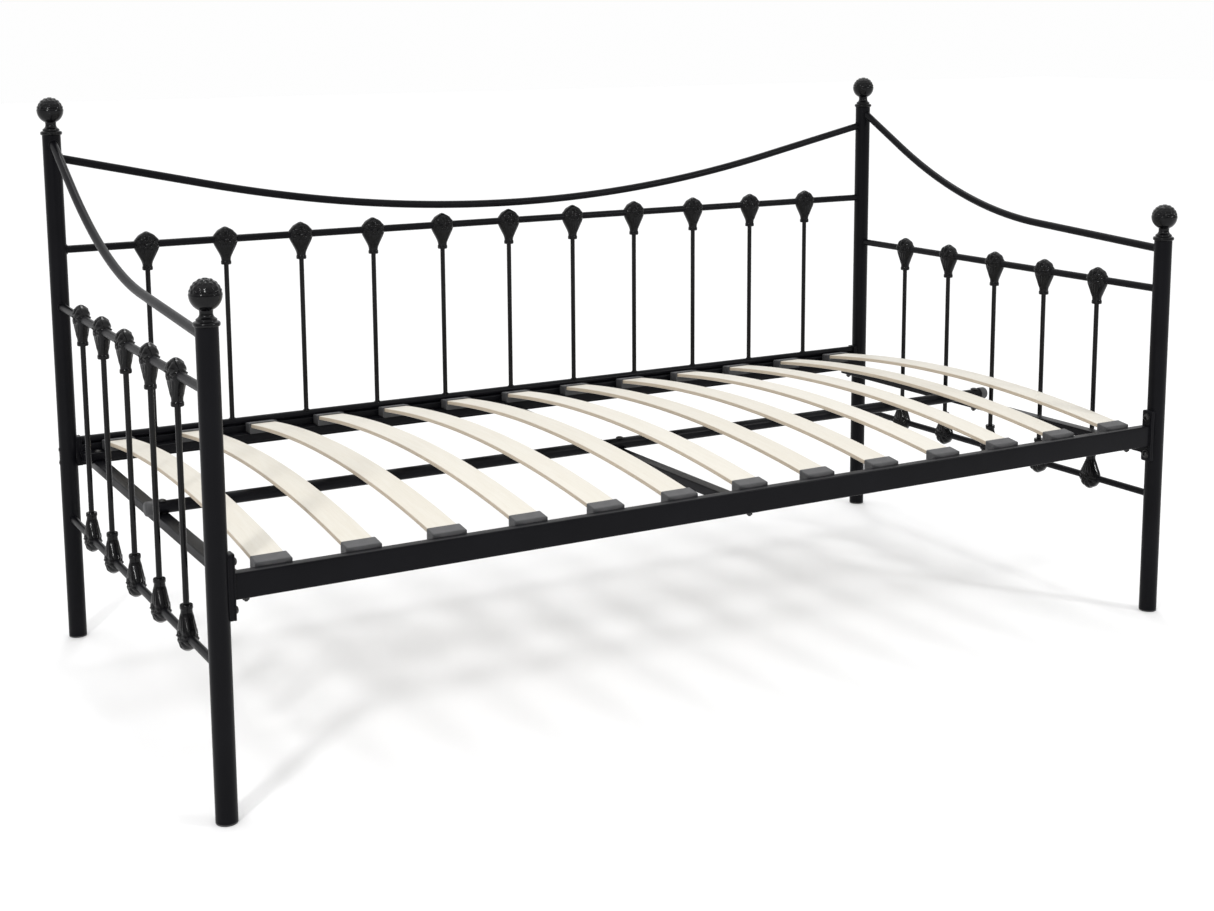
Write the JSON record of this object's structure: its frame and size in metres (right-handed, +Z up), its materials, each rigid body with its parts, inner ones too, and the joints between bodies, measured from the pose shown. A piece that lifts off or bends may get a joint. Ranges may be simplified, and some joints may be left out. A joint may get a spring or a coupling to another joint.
{
  "type": "daybed",
  "caption": "Single metal daybed with ball-topped posts, swept top rails, spindle panels with shell castings, and bowed wooden slats.",
  "frame": {"origin": "on the floor, under the middle of the bed", "axes": "+X along the length of the bed, +Y towards the back panel, +Z up"},
  "size_m": [2.02, 1.02, 1.08],
  "materials": {
    "black_powder_coat": "satin black powder coat with a fine texture",
    "black_gloss_cast": "glossy black enamel over a metal casting",
    "birch_slat": "pale laminated birch, lightly sealed",
    "black_plastic": "matt moulded black plastic"
  },
  "bodies": {
    "root": {"post_front_left": "black_powder_coat", "finial_front_left": "black_gloss_cast", "post_front_right": "black_powder_coat", "finial_front_right": "black_gloss_cast", "post_rear_left": "black_powder_coat", "finial_rear_left": "black_gloss_cast", "post_rear_right": "black_powder_coat", "finial_rear_right": "black_gloss_cast", "back_top_rail": "black_powder_coat", "back_middle_rail": "black_powder_coat", "end_top_rail_left": "black_powder_coat", "end_middle_rail_left": "black_powder_coat", "end_lower_rail_left": "black_powder_coat", "end_top_rail_right": "black_powder_coat", "end_middle_rail_right": "black_powder_coat", "end_lower_rail_right": "black_powder_coat", "back_spindle_1": "black_gloss_cast", "back_spindle_2": "black_gloss_cast", "back_spindle_3": "black_gloss_cast", "back_spindle_4": "black_gloss_cast", "back_spindle_5": "black_gloss_cast", "back_spindle_6": "black_gloss_cast", "back_spindle_7": "black_gloss_cast", "back_spindle_8": "black_gloss_cast", "back_spindle_9": "black_gloss_cast", "back_spindle_10": "black_gloss_cast", "back_spindle_11": "black_gloss_cast", "left_end_spindle_1": "black_gloss_cast", "left_end_spindle_2": "black_gloss_cast", "left_end_spindle_3": "black_gloss_cast", "left_end_spindle_4": "black_gloss_cast", "left_end_spindle_5": "black_gloss_cast", "right_end_spindle_1": "black_gloss_cast", "right_end_spindle_2": "black_gloss_cast", "right_end_spindle_3": "black_gloss_cast", "right_end_spindle_4": "black_gloss_cast", "right_end_spindle_5": "black_gloss_cast", "slat_1": "birch_slat", "slat_2": "birch_slat", "slat_3": "birch_slat", "slat_4": "birch_slat", "slat_5": "birch_slat", "slat_6": "birch_slat", "slat_7": "birch_slat", "slat_8": "birch_slat", "slat_9": "birch_slat", "slat_10": "birch_slat", "slat_11": "birch_slat", "slat_12": "birch_slat", "slat_13": "birch_slat", "side_rail_rear": "black_powder_coat", "side_rail_front": "black_powder_coat", "rail_plate_rear_right": "black_powder_coat", "rail_plate_rear_left": "black_powder_coat", "rail_plate_front_left": "black_powder_coat", "rail_plate_front_right": "black_powder_coat", "cross_bar_left": "black_powder_coat", "cross_bar_middle": "black_powder_coat", "cross_bar_right": "black_powder_coat", "centre_rail": "black_powder_coat"}
  },
  "joints": []
}
